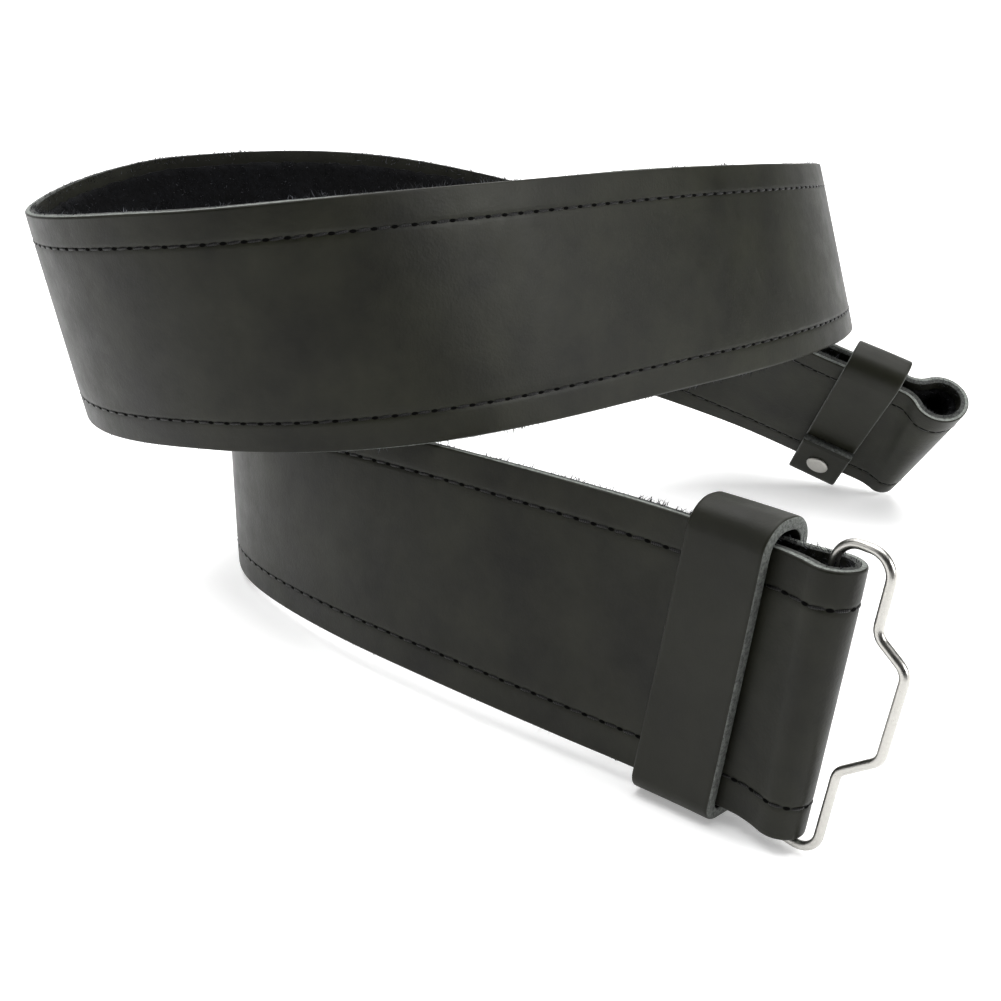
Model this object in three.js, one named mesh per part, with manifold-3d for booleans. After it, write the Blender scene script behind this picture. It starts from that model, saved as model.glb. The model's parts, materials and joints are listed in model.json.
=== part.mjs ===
// A wide leather kilt belt lying on its edge in a loose coil.
// One end is folded round a bent wire loop, and the other is folded back
// into an open loop. A leather keeper holds each fold shut.
// Millimetres, +Z up, seen from the front along +Y.
import * as THREE from "three";
import { mergeVertices } from "three/addons/utils/BufferGeometryUtils.js";
import Module from "manifold-3d";

const wasm = await Module();
wasm.setup();

// Strap
const STRAP_WIDTH = 57;
const STRAP_LENGTH = 1211; // from fold to fold, without the two turned-back tails
const LEATHER = 2.6;
const LINING = 1;
const LINING_MARGIN = 3.5; // bare leather beside the lining, at both edges
const GAP = 0.3; // between pieces that touch

// Tails turned back at the ends
const WIRE_TAIL_LENGTH = 20;
const OPEN_TAIL_LENGTH = 90;

// Wire loop
const WIRE = 1.9;
const BAR_SETBACK = 7.3; // from the end of the fold to the bar inside it
const LOOP_CLEARANCE = 2.4; // from the end of the fold to the straight side of the loop
const HUMP_REACH = 7; // how far the middle of the loop stands out from that side
const LOOP_RISE = 4.6; // of the upper arm over the strap, to the middle of the wire
const LOOP_DROP = 1.45; // of the lower arm below the strap
const LOOP_CORNER = 4.6;
const HUMP_CORNER = 3.5;
// Bends of its free side. along: share of STRAP_WIDTH from the middle. out: share of HUMP_REACH.
const HUMP = [
  { bend: "lower straight ends", along: -0.19, out: 0 },
  { bend: "middle begins", along: -0.08, out: 1 },
  { bend: "middle ends", along: 0.24, out: 1 },
  { bend: "upper straight begins", along: 0.32, out: 0 },
];
const LOOP_SKEW = -2.5; // degrees off square to the strap
const LOOP_SLANT = 3; // by which its free side stands further from the bar at the upper arm

// Folds at the two ends, at the upper and lower edge of the strap. flare: degrees by which
// the leaves open out of the keeper. radius: outside radius of the bend that joins them.
const WIRE_FOLD = { upper: { radius: 5.9, flare: 20 }, lower: { radius: 5.25, flare: 18 } };
const OPEN_FOLD = { upper: { radius: 9, flare: 46 }, lower: { radius: 5.4, flare: 20 } };

// Keepers
const KEEPER_LEATHER = 2.6;
const KEEPER_CLEARANCE = 0.75;
const KEEPER_CORNER = 1.8; // inside radius at the lower edge
const KEEPER_CROWN_CORNER = 4; // inside radius over the upper edge
const WIDE_KEEPER_WIDTH = 18.5;
const WIDE_KEEPER_CROWN = 1.8; // further clearance over the upper edge
const WIDE_KEEPER_SETBACK = 1.7; // from the start of the strap to the near side of the keeper
const WIDE_KEEPER_SKEW = 4.5; // degrees off square to the strap
const NARROW_KEEPER_WIDTH = 18;
const NARROW_KEEPER_CROWN = 3;
const NARROW_KEEPER_SETBACK = 4; // from the end of the strap to the far side of the keeper
const NARROW_KEEPER_SKEW = -5;
const TAB_HEIGHT = 23; // lap of the narrow keeper over its start
const INNER_END = 3; // from that start to the lower edge
const RIVET_HEAD = 8;
const RIVET_HEAD_HEIGHT = 1.6;
const RIVET_RIM_SHARE = 0.3; // upright rim, as a share of the head's height
const RIVET_SHANK = 3.5;

// The lowest edge of the strap stands on the surface, and the wide keeper lifts the wire end.
const KEEPER_LIFT = (KEEPER_LEATHER + KEEPER_CLEARANCE) / STRAP_WIDTH;

// Route of the grain side of the strap. at: share of STRAP_LENGTH. heading: degrees from +X,
// seen from above. level: height of the lower edge as a share of STRAP_WIDTH.
// lean: degrees by which the upper edge leans out to the grain side.
const ROUTE = [
  { section: "wire end, under the keeper", at: 0, heading: 132.5, level: KEEPER_LIFT, lean: -3.5 },
  { section: "near run", at: 0.034, heading: 140, level: 0.07, lean: -9.5 },
  { section: "near run", at: 0.086, heading: 140, level: 0.084, lean: -9 },
  { section: "near run under the crossing", at: 0.126, heading: 129, level: 0.055, lean: -2.5 },
  { section: "lower left bend", at: 0.188, heading: 75.5, level: 0, lean: -0.5 },
  { section: "rear run leaves the surface", at: 0.25, heading: 55.5, level: 0.11, lean: 4 },
  { section: "rear run", at: 0.311, heading: 26, level: 0.335, lean: 1 },
  { section: "right bend begins", at: 0.374, heading: -18, level: 0.727, lean: -3 },
  { section: "right bend", at: 0.424, heading: -71.5, level: 0.995, lean: -10.5 },
  { section: "right bend ends", at: 0.475, heading: -109, level: 1.1, lean: -17 },
  { section: "front band", at: 0.556, heading: -138, level: 1.14, lean: -13 },
  { section: "front band at the crossing", at: 0.616, heading: -149, level: 1.105, lean: -7.5 },
  { section: "upper left bend begins", at: 0.679, heading: -203, level: 1.015, lean: 10 },
  { section: "upper left bend", at: 0.739, heading: -254, level: 0.952, lean: 8 },
  { section: "inside run", at: 0.788, heading: -332, level: 1.12, lean: 1 },
  { section: "inside run falls", at: 0.838, heading: -339, level: 1.113, lean: 0 },
  { section: "falling run", at: 0.909, heading: -346.5, level: 0.784, lean: -10 },
  { section: "falling run", at: 0.96, heading: -384, level: 0.427, lean: -34.5 },
  { section: "open end, under the keeper", at: 1, heading: -384.5, level: 0.158, lean: -37.5 },
];

const ROUTE_STEP = 1;
const STATION_TURN = 9; // degrees of bend from one cross-section to the next
const STATION_TWIST = 3; // degrees of twist or tilt
const STATION_LENGTH = 18;
const STRAP_COLUMNS = 3;
const KEEPER_COLUMNS = 2;
const KEEPER_STATION = 6;
const FOLD_STEPS = 10;
const FLARE_STEPS = 4;
const CORNER_STEPS = 4;
const WIRE_STEPS = 90;
const WIRE_SIDES = 8;
const ROUND_SIDES = 24;

const UP = new THREE.Vector3(0, 0, 1);

// Frames along the route: point on the grain side halfway up, tangent, across (to the upper
// edge) and grain (out of the grain side).
const route = layRoute();
const startFrame = frameAt(0);
const backwards = startFrame.tangent.clone().negate();
const endFrame = frameAt(STRAP_LENGTH);

function layRoute() {
  const shares = ROUTE.map((row) => row.at);
  const values = ROUTE.flatMap((row) => [row.heading, row.level, row.lean]);
  const interpolant = new THREE.CubicInterpolant(shares, values, 3);
  const steps = Math.ceil(STRAP_LENGTH / ROUTE_STEP);
  const step = STRAP_LENGTH / steps;
  const samples = [];
  for (let i = 0; i <= steps; i++) {
    const [heading, level, lean] = interpolant.evaluate(i / steps);
    samples.push({ heading, edge: level * STRAP_WIDTH, lean });
  }
  const plan = new THREE.Vector3();
  return samples.map((sample, i) => {
    const before = samples[Math.max(i - 1, 0)];
    const after = samples[Math.min(i + 1, steps)];
    const slope = (after.edge - before.edge) / (step * (i === 0 || i === steps ? 1 : 2));
    const tangent = new THREE.Vector3(Math.sqrt(1 - slope * slope), 0, slope);
    tangent.applyAxisAngle(UP, THREE.MathUtils.degToRad(sample.heading));
    if (i > 0) {
      plan.addScaledVector(tangent, step);
    }
    const across = UP.clone().addScaledVector(tangent, -slope).normalize();
    across.applyAxisAngle(tangent, THREE.MathUtils.degToRad(-sample.lean));
    const grain = new THREE.Vector3().crossVectors(across, tangent);
    const point = new THREE.Vector3(plan.x, plan.y, sample.edge + (across.z * STRAP_WIDTH) / 2);
    return { point, tangent, across, grain, heading: sample.heading };
  });
}

// A distance past either end runs straight on.
function frameAt(distance) {
  const inside = THREE.MathUtils.clamp(distance, 0, STRAP_LENGTH);
  const place = (inside / STRAP_LENGTH) * (route.length - 1);
  const index = Math.min(Math.floor(place), route.length - 2);
  const mix = (key) => route[index][key].clone().lerp(route[index + 1][key], place - index);
  const tangent = mix("tangent").normalize();
  return {
    point: mix("point").addScaledVector(tangent, distance - inside),
    tangent,
    across: mix("across").normalize(),
    grain: mix("grain").normalize(),
  };
}

// Distances along the strap, closer together where it bends.
function stationDistances() {
  const distances = [0];
  let bend = 0;
  const step = STRAP_LENGTH / (route.length - 1);
  for (let i = 1; i < route.length; i++) {
    const turn = Math.abs(route[i].heading - route[i - 1].heading);
    const twist = THREE.MathUtils.radToDeg(route[i].across.angleTo(route[i - 1].across));
    bend += turn / STATION_TURN + twist / STATION_TWIST + step / STATION_LENGTH;
    if (bend >= 1) {
      distances.push(i * step);
      bend = 0;
    }
  }
  distances[distances.length - 1] = STRAP_LENGTH;
  return distances;
}

// Half the thickness of the doubled strap.
const LEAF = LEATHER + GAP + LINING;
const SHUT_HALF = LEAF + GAP / 2;

// A station is one cross-section of the strap: the grain-side points at the upper and lower
// edge, with the grain-side normal at each.
function mainStation(distance) {
  const { point, across, grain } = frameAt(distance);
  return {
    upper: point.clone().addScaledVector(across, STRAP_WIDTH / 2),
    lower: point.clone().addScaledVector(across, -STRAP_WIDTH / 2),
    upperNormal: grain,
    lowerNormal: grain,
  };
}

function tailStation(distance) {
  const { upper, lower, upperNormal } = mainStation(distance);
  const back = upperNormal.clone().negate();
  return {
    upper: upper.addScaledVector(back, 2 * SHUT_HALF),
    lower: lower.addScaledVector(back, 2 * SHUT_HALF),
    upperNormal: back,
    lowerNormal: back,
  };
}

// The leaves of a fold leave the keeper on one arc and meet in a rounder one.
function foldArcs({ radius, flare }) {
  const angle = THREE.MathUtils.degToRad(flare);
  const flareRadius = (radius * Math.cos(angle) - SHUT_HALF) / (1 - Math.cos(angle));
  const centre = (flareRadius + radius) * Math.sin(angle);
  return { angle, flareRadius, centre, reach: centre + radius };
}

// Profile of a fold, from the main leaf to the tail: out is beyond the end of the strap and
// off is from the middle plane.
function foldProfile(fold) {
  const { angle, flareRadius, centre } = foldArcs(fold);
  const profile = [];
  const add = (out, off, outNormal, offNormal) => {
    profile.push({ out, off, outNormal, offNormal });
  };
  const addFlare = (turn, side) => {
    const off = SHUT_HALF + flareRadius * (1 - Math.cos(turn));
    add(flareRadius * Math.sin(turn), side * off, -Math.sin(turn), side * Math.cos(turn));
  };
  for (let i = 1; i <= FLARE_STEPS; i++) {
    addFlare((angle * i) / FLARE_STEPS, 1);
  }
  for (let i = 1; i < FOLD_STEPS; i++) {
    const turn = ((Math.PI + 2 * angle) * i) / FOLD_STEPS - angle;
    const normal = [Math.sin(turn), Math.cos(turn)];
    add(centre + fold.radius * normal[0], fold.radius * normal[1], ...normal);
  }
  for (let i = FLARE_STEPS; i > 0; i--) {
    addFlare((angle * i) / FLARE_STEPS, -1);
  }
  return profile;
}

function foldStations(frame, outward, fold) {
  const lowerProfile = foldProfile(fold.lower);
  const place = (row, side) =>
    frame.point
      .clone()
      .addScaledVector(frame.across, (side * STRAP_WIDTH) / 2)
      .addScaledVector(outward, row.out)
      .addScaledVector(frame.grain, row.off - SHUT_HALF);
  const turned = (row) =>
    outward.clone().multiplyScalar(row.outNormal).addScaledVector(frame.grain, row.offNormal);
  return foldProfile(fold.upper).map((row, i) => ({
    upper: place(row, 1),
    lower: place(lowerProfile[i], -1),
    upperNormal: turned(row),
    lowerNormal: turned(lowerProfile[i]),
  }));
}

function strapStations() {
  const distances = stationDistances();
  const openTailEnd = STRAP_LENGTH - OPEN_TAIL_LENGTH;
  const wireTail = distances.filter((distance) => distance < WIRE_TAIL_LENGTH);
  const openTail = distances.filter((distance) => distance > openTailEnd);
  return [
    tailStation(WIRE_TAIL_LENGTH),
    ...wireTail.reverse().map(tailStation),
    ...foldStations(startFrame, backwards, WIRE_FOLD).reverse(),
    ...distances.map(mainStation),
    ...foldStations(endFrame, endFrame.tangent, OPEN_FOLD),
    ...openTail.reverse().map(tailStation),
    tailStation(openTailEnd),
  ];
}

// A closed strip through the stations, between two depths below the grain side. inset: share
// of the width left free at both edges.
function strip(stations, columns, inset, outerDepth, innerDepth) {
  const geometry = new THREE.BoxGeometry(1, 1, 1, columns, 1, stations.length - 1);
  const position = geometry.getAttribute("position");
  const local = new THREE.Vector3();
  for (let i = 0; i < position.count; i++) {
    local.fromBufferAttribute(position, i);
    const station = stations[Math.round((local.z + 0.5) * (stations.length - 1))];
    const share = THREE.MathUtils.lerp(inset, 1 - inset, local.x + 0.5);
    const depth = local.y > 0 ? outerDepth : innerDepth;
    const normal = station.upperNormal.clone().lerp(station.lowerNormal, share).normalize();
    const point = station.upper.clone().lerp(station.lower, share).addScaledVector(normal, -depth);
    position.setXYZ(i, point.x, point.y, point.z);
  }
  return closed(geometry);
}

function closed(geometry) {
  geometry.deleteAttribute("normal");
  geometry.deleteAttribute("uv");
  const merged = mergeVertices(geometry);
  merged.computeVertexNormals();
  return merged;
}

function toSolid(geometry) {
  return new wasm.Manifold(
    new wasm.Mesh({
      numProp: 3,
      vertProperties: new Float32Array(geometry.getAttribute("position").array),
      triVerts: new Uint32Array(geometry.index.array),
    }),
  );
}

function toGeometry(solid) {
  const mesh = solid.getMesh();
  const geometry = new THREE.BufferGeometry();
  geometry.setAttribute("position", new THREE.BufferAttribute(mesh.vertProperties, 3));
  geometry.setIndex(new THREE.BufferAttribute(mesh.triVerts, 1));
  geometry.computeVertexNormals();
  return geometry;
}

const KEEPER_HALF_ACROSS = STRAP_WIDTH / 2 + KEEPER_CLEARANCE;
const KEEPER_HALF_DEPTH = SHUT_HALF + KEEPER_CLEARANCE;

// Centres of the keepers' bends about the middle of the doubled strap: x down the strap, y out
// of its grain side.
const BEND_X = KEEPER_HALF_ACROSS - KEEPER_CORNER;
const BEND_Y = KEEPER_HALF_DEPTH - KEEPER_CORNER;
const CROWN_Y = KEEPER_HALF_DEPTH - KEEPER_CROWN_CORNER;
const crownX = (crown) => KEEPER_CROWN_CORNER - KEEPER_HALF_ACROSS - crown;

function keeperOutline(shape, leather) {
  const bend = KEEPER_CORNER + leather;
  const crown = KEEPER_CROWN_CORNER + leather;
  const x = crownX(WIDE_KEEPER_CROWN);
  shape.absarc(BEND_X, BEND_Y, bend, 0, Math.PI / 2);
  shape.absarc(x, CROWN_Y, crown, Math.PI / 2, Math.PI);
  shape.absarc(x, -CROWN_Y, crown, Math.PI, 1.5 * Math.PI);
  shape.absarc(BEND_X, -BEND_Y, bend, 1.5 * Math.PI, 2 * Math.PI);
  shape.closePath();
  return shape;
}

function keeperShape() {
  const shape = keeperOutline(new THREE.Shape(), KEEPER_LEATHER);
  shape.holes.push(keeperOutline(new THREE.Path(), 0));
  return shape;
}

// Carries a straight band onto the strap: x runs down the strap, y out of the grain side.
function wrapRound(shape, start, width, skew) {
  const shear = Math.tan(THREE.MathUtils.degToRad(skew));
  const geometry = new THREE.ExtrudeGeometry(shape, {
    depth: width,
    steps: 2,
    curveSegments: CORNER_STEPS,
    bevelEnabled: false,
  });
  const position = geometry.getAttribute("position");
  for (let i = 0; i < position.count; i++) {
    const frame = frameAt(start + position.getZ(i) + shear * position.getX(i));
    const point = frame.point
      .addScaledVector(frame.across, -position.getX(i))
      .addScaledVector(frame.grain, position.getY(i) - SHUT_HALF);
    position.setXYZ(i, point.x, point.y, point.z);
  }
  return closed(geometry);
}

const LAP_START = STRAP_LENGTH - NARROW_KEEPER_SETBACK - NARROW_KEEPER_WIDTH;
const LAP_SHEAR = Math.tan(THREE.MathUtils.degToRad(NARROW_KEEPER_SKEW));
const LAP_DEPTH = KEEPER_HALF_DEPTH + KEEPER_LEATHER + GAP;

// Winding of the narrow keeper, seen along the strap: x is down the strap and y out of its
// grain side. It runs up the tail side, over the upper edge, down the grain side and round
// the lower edge, and laps over its own start.
function winding() {
  const down = new THREE.Vector2(0, -1);
  const upperX = crownX(NARROW_KEEPER_CROWN);
  const corner = (centreX, centreY, quarter, radius = KEEPER_CORNER) =>
    Array.from({ length: CORNER_STEPS + 1 }, (_, i) => {
      const turn = (-Math.PI / 2) * (quarter + i / CORNER_STEPS);
      const normal = new THREE.Vector2(Math.cos(turn), Math.sin(turn));
      const place = normal.clone().multiplyScalar(radius);
      return { x: centreX + place.x, y: centreY + place.y, normal };
    });
  const rows = [
    { x: KEEPER_HALF_ACROSS - INNER_END, y: -KEEPER_HALF_DEPTH, normal: down },
    ...corner(upperX, -CROWN_Y, 1, KEEPER_CROWN_CORNER),
    ...corner(upperX, CROWN_Y, 2, KEEPER_CROWN_CORNER),
    ...corner(BEND_X, BEND_Y, 3),
    ...corner(BEND_X, KEEPER_CORNER - LAP_DEPTH, 4),
    { x: KEEPER_HALF_ACROSS + KEEPER_LEATHER - TAB_HEIGHT, y: -LAP_DEPTH, normal: down },
  ];
  return rows.flatMap((row, i) => {
    const next = rows[i + 1] ?? row;
    const steps = Math.max(1, Math.ceil(Math.hypot(next.x - row.x, next.y - row.y) / KEEPER_STATION));
    return Array.from({ length: steps }, (_, k) => ({
      x: THREE.MathUtils.lerp(row.x, next.x, k / steps),
      y: THREE.MathUtils.lerp(row.y, next.y, k / steps),
      normal: row.normal,
    }));
  });
}

// Carries a place on the narrow keeper onto the strap. along: from its near side.
function onStrap(along, x, y) {
  const { point, across, grain } = frameAt(LAP_START + along + LAP_SHEAR * x);
  return point.addScaledVector(across, -x).addScaledVector(grain, y - SHUT_HALF);
}

function windingStation({ x, y, normal }) {
  const out = (along) => {
    const { across, grain } = frameAt(LAP_START + along + LAP_SHEAR * x);
    return across.multiplyScalar(-normal.x).addScaledVector(grain, normal.y);
  };
  return {
    upper: onStrap(NARROW_KEEPER_WIDTH, x, y),
    lower: onStrap(0, x, y),
    upperNormal: out(NARROW_KEEPER_WIDTH),
    lowerNormal: out(0),
  };
}

// Stands a turned piece square on the middle of the lap.
function onLap(geometry) {
  const y = -LAP_DEPTH - KEEPER_LEATHER;
  const middle = (x) => onStrap(0, x, y).lerp(onStrap(NARROW_KEEPER_WIDTH, x, y), 0.5);
  const x = KEEPER_HALF_ACROSS + KEEPER_LEATHER - TAB_HEIGHT / 2;
  const side = onStrap(NARROW_KEEPER_WIDTH, x, y).sub(onStrap(0, x, y));
  const up = middle(x - 1).sub(middle(x + 1)).normalize();
  const out = new THREE.Vector3().crossVectors(side, up).normalize();
  const across = new THREE.Vector3().crossVectors(out, up);
  const matrix = new THREE.Matrix4().makeBasis(across, out, up);
  return geometry.applyMatrix4(matrix.setPosition(middle(x)));
}

function rivetGeometry() {
  const radius = RIVET_HEAD / 2;
  const shank = RIVET_SHANK / 2;
  const depth = 2 * KEEPER_LEATHER + GAP;
  const rim = RIVET_HEAD_HEIGHT * RIVET_RIM_SHARE;
  const dome = Array.from({ length: CORNER_STEPS }, (_, i) => {
    const angle = (i * Math.PI) / 2 / CORNER_STEPS;
    const height = rim + (RIVET_HEAD_HEIGHT - rim) * Math.sin(angle);
    return new THREE.Vector2(radius * Math.cos(angle), GAP + height);
  });
  const profile = [
    new THREE.Vector2(0, -depth),
    new THREE.Vector2(shank, -depth),
    new THREE.Vector2(shank, GAP),
    new THREE.Vector2(radius, GAP),
    ...dome,
    new THREE.Vector2(0, GAP + RIVET_HEAD_HEIGHT),
  ];
  return closed(onLap(new THREE.LatheGeometry(profile, ROUND_SIDES)));
}

function narrowKeeperGeometry() {
  const band = strip(winding().map(windingStation), KEEPER_COLUMNS, 0, -KEEPER_LEATHER, 0);
  const radius = RIVET_SHANK / 2 + GAP;
  const depth = 2 * KEEPER_LEATHER + GAP + KEEPER_CLEARANCE;
  const hole = new THREE.CylinderGeometry(radius, radius, 2 * depth, ROUND_SIDES);
  return toGeometry(toSolid(band).subtract(toSolid(closed(onLap(hole)))));
}

// Outline of the wire loop in its own plane: x out from the bar, y up along it.
function loopOutline() {
  const upper = STRAP_WIDTH / 2 + LOOP_RISE;
  const lower = -STRAP_WIDTH / 2 - LOOP_DROP;
  const side = (along) => BAR_SETBACK + LOOP_CLEARANCE + LOOP_SLANT * along;
  const bends = HUMP.map((row) => ({
    x: side(row.along) + row.out * HUMP_REACH,
    y: row.along * STRAP_WIDTH,
    radius: HUMP_CORNER,
  }));
  const corners = [
    { x: 0, y: lower, radius: LOOP_DROP },
    { x: side(-0.5), y: lower, radius: LOOP_CORNER },
    ...bends,
    { x: side(0.5), y: upper, radius: LOOP_CORNER },
    { x: 0, y: upper, radius: LOOP_RISE },
  ];
  const path = new THREE.Path();
  corners.forEach((corner, i) => {
    const here = new THREE.Vector2(corner.x, corner.y);
    const before = corners[(i + corners.length - 1) % corners.length];
    const after = corners[(i + 1) % corners.length];
    const back = new THREE.Vector2(before.x, before.y).sub(here).normalize();
    const on = new THREE.Vector2(after.x, after.y).sub(here).normalize();
    const halfAngle = Math.acos(THREE.MathUtils.clamp(back.dot(on), -1, 1)) / 2;
    const reach = corner.radius / Math.tan(halfAngle);
    const centre = back.clone().add(on).setLength(corner.radius / Math.sin(halfAngle)).add(here);
    const from = back.multiplyScalar(reach).add(here);
    const to = on.multiplyScalar(reach).add(here);
    const turn = here.clone().sub(from).cross(to.clone().sub(here));
    if (i === 0) {
      path.moveTo(from.x, from.y);
    }
    path.absarc(
      centre.x,
      centre.y,
      corner.radius,
      from.sub(centre).angle(),
      to.sub(centre).angle(),
      turn < 0,
    );
  });
  path.closePath();
  return path;
}

function wireLoopGeometry() {
  const points = loopOutline().getSpacedPoints(WIRE_STEPS).slice(0, WIRE_STEPS);
  const curve = new THREE.CatmullRomCurve3(
    points.map((point) => new THREE.Vector3(point.x, point.y, 0)),
    true,
  );
  const geometry = new THREE.TubeGeometry(curve, WIRE_STEPS, WIRE / 2, WIRE_SIDES, true);
  geometry.rotateZ(THREE.MathUtils.degToRad(LOOP_SKEW));
  const { across, grain } = startFrame;
  const bar = startFrame.point
    .clone()
    .addScaledVector(backwards, foldArcs(WIRE_FOLD.upper).reach - BAR_SETBACK)
    .addScaledVector(grain, -SHUT_HALF);
  const matrix = new THREE.Matrix4().makeBasis(backwards, across, grain).setPosition(bar);
  return closed(geometry.applyMatrix4(matrix));
}

function leatherMaterial(color, roughness) {
  return new THREE.MeshStandardMaterial({ color, roughness, metalness: 0 });
}

function metalMaterial(color, roughness) {
  return new THREE.MeshStandardMaterial({ color, roughness, metalness: 1 });
}

function piece(name, geometry, material) {
  const mesh = new THREE.Mesh(geometry, material);
  mesh.name = name;
  return mesh;
}

const belt = new THREE.Group();
const stations = strapStations();
const liningDepth = LEATHER + GAP;

belt.add(
  piece("strap", strip(stations, STRAP_COLUMNS, 0, 0, LEATHER), leatherMaterial(0x23231f, 0.5)),
);
belt.add(
  piece(
    "lining",
    strip(stations, STRAP_COLUMNS, LINING_MARGIN / STRAP_WIDTH, liningDepth, liningDepth + LINING),
    leatherMaterial(0x111318, 0.95),
  ),
);
belt.add(
  piece(
    "wide_keeper",
    wrapRound(keeperShape(), WIDE_KEEPER_SETBACK, WIDE_KEEPER_WIDTH, WIDE_KEEPER_SKEW),
    leatherMaterial(0x2a2a27, 0.45),
  ),
);
belt.add(piece("narrow_keeper", narrowKeeperGeometry(), leatherMaterial(0x2a2a27, 0.45)));
belt.add(piece("rivet", rivetGeometry(), metalMaterial(0xb9bbb8, 0.4)));
belt.add(piece("wire_loop", wireLoopGeometry(), metalMaterial(0xc4c6c8, 0.2)));

// The origin is on the surface, under the middle of the coil.
const box = new THREE.Box3().setFromObject(belt, true);
belt.position.set(-(box.min.x + box.max.x) / 2, -(box.min.y + box.max.y) / 2, -box.min.z);

export default belt;
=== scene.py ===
"""Looks of a leather kilt belt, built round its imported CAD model. Metres, +Z up."""
import json
import math

import bpy
import numpy as np
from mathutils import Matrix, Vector


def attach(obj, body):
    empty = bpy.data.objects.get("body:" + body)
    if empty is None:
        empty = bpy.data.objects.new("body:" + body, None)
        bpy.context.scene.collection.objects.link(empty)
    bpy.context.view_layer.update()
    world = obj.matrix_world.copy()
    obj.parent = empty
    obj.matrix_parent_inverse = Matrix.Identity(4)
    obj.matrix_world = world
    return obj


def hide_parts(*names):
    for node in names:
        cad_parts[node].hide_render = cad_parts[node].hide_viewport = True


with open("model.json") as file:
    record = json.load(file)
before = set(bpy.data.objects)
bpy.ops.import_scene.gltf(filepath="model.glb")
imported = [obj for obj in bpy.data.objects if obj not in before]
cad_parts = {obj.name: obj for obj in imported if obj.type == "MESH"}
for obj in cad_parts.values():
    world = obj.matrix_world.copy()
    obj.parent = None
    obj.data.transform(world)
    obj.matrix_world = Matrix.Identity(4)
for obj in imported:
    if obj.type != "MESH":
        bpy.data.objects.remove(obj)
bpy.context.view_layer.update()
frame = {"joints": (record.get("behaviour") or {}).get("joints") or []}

# Strap, as in the CAD source
MM = 0.001
STRAP_WIDTH = 57 * MM
STRAP_LENGTH = 1211 * MM  # from fold to fold
LEATHER = 2.6 * MM
LINING = 1 * MM
LINING_MARGIN = 3.5 * MM
GAP = 0.3 * MM  # between neighbouring layers
WIRE_TAIL_LENGTH = 20 * MM
OPEN_TAIL_LENGTH = 90 * MM

# Wire loop
WIRE = 1.9 * MM
BAR_SETBACK = 7.3 * MM
LOOP_CLEARANCE = 2.4 * MM
LOOP_SLANT = 3 * MM
HUMP_REACH = 7 * MM
LOOP_RISE = 4.6 * MM
LOOP_DROP = 1.45 * MM
LOOP_CORNER = 4.6 * MM
HUMP_CORNER = 3.5 * MM
LOOP_SKEW = -2.5  # degrees
HUMP = [(-0.19, 0), (-0.08, 1), (0.24, 1), (0.32, 0)]  # share along the bar, share of HUMP_REACH

# Folds: outside radius of the bend, and the angle by which the leaves open out of the keeper
WIRE_FOLD = {"upper": (5.9 * MM, 20), "lower": (5.25 * MM, 18)}
OPEN_FOLD = {"upper": (9 * MM, 46), "lower": (5.4 * MM, 20)}

# Keepers
KEEPER_LEATHER = 2.6 * MM
KEEPER_CLEARANCE = 0.75 * MM
KEEPER_CORNER = 1.8 * MM  # inside radius at the lower edge
KEEPER_CROWN_CORNER = 4 * MM  # inside radius over the upper edge
WIDE_KEEPER_WIDTH = 18.5 * MM
WIDE_KEEPER_CROWN = 1.8 * MM  # further clearance over the upper edge
WIDE_KEEPER_SETBACK = 1.7 * MM
WIDE_KEEPER_SKEW = 4.5  # degrees
NARROW_KEEPER_WIDTH = 18 * MM
NARROW_KEEPER_CROWN = 3 * MM
NARROW_KEEPER_SETBACK = 4 * MM
NARROW_KEEPER_SKEW = -5  # degrees
TAB_HEIGHT = 23 * MM
INNER_END = 3 * MM
RIVET_HEAD = 8 * MM
RIVET_HEAD_HEIGHT = 1.6 * MM
RIVET_LIFT = 0.05 * MM
RIVET_PROFILE = [  # share of the radius, share of the height
    (0.9, 0), (0.98, 0.08), (1, 0.2), (0.985, 0.36), (0.93, 0.52),
    (0.82, 0.68), (0.66, 0.82), (0.45, 0.92), (0.24, 0.98), (0.1, 1),
]
NARROW_KEEPER_START = STRAP_LENGTH - NARROW_KEEPER_SETBACK - NARROW_KEEPER_WIDTH
KEEPER_LIFT = (2.6 + 0.75) / 57  # leather and clearance under the strap, as a share of its width

# Route of the grain side: share of the length, heading, level (share of the width) and lean
ROUTE = [
    (0, 132.5, KEEPER_LIFT, -3.5),
    (0.034, 140, 0.07, -9.5),
    (0.086, 140, 0.084, -9),
    (0.126, 129, 0.055, -2.5),
    (0.188, 75.5, 0, -0.5),
    (0.25, 55.5, 0.11, 4),
    (0.311, 26, 0.335, 1),
    (0.374, -18, 0.727, -3),
    (0.424, -71.5, 0.995, -10.5),
    (0.475, -109, 1.1, -17),
    (0.556, -138, 1.14, -13),
    (0.616, -149, 1.105, -7.5),
    (0.679, -203, 1.015, 10),
    (0.739, -254, 0.952, 8),
    (0.788, -332, 1.12, 1),
    (0.838, -339, 1.113, 0),
    (0.909, -346.5, 0.784, -10),
    (0.96, -384, 0.427, -34.5),
    (1, -384.5, 0.158, -37.5),
]

# Fineness of the meshes
ROUTE_STEPS = 1211
STATION = 1.6 * MM
FLARE_STEPS = 12
FOLD_STEPS = 36
RIM_STEPS = 4
KEEPER_STEP = 2.4 * MM
CORNER_STEPS = 10
CROWN_STEPS = 14
LINING_COLUMNS = 26
THREAD_SIDES = 8
HOLE_SIDES = 8
RIVET_SIDES = 40
WIRE_SIDES = 18
WIRE_STEP = 1.5 * MM
WIRE_BEND_STEP = 9  # degrees
STRAP_INSETS = [0.6, 1.6, 3, 4.8, 6.2, 6.8, 7.15, 7.5, 7.85, 8.2, 8.8, 10.2, 12.5, 16, 20, 24.5]  # mm
KEEPER_INSETS = [0.5, 1.2, 2.4, 4.5, 7]  # mm from either edge, as the strap's

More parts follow.
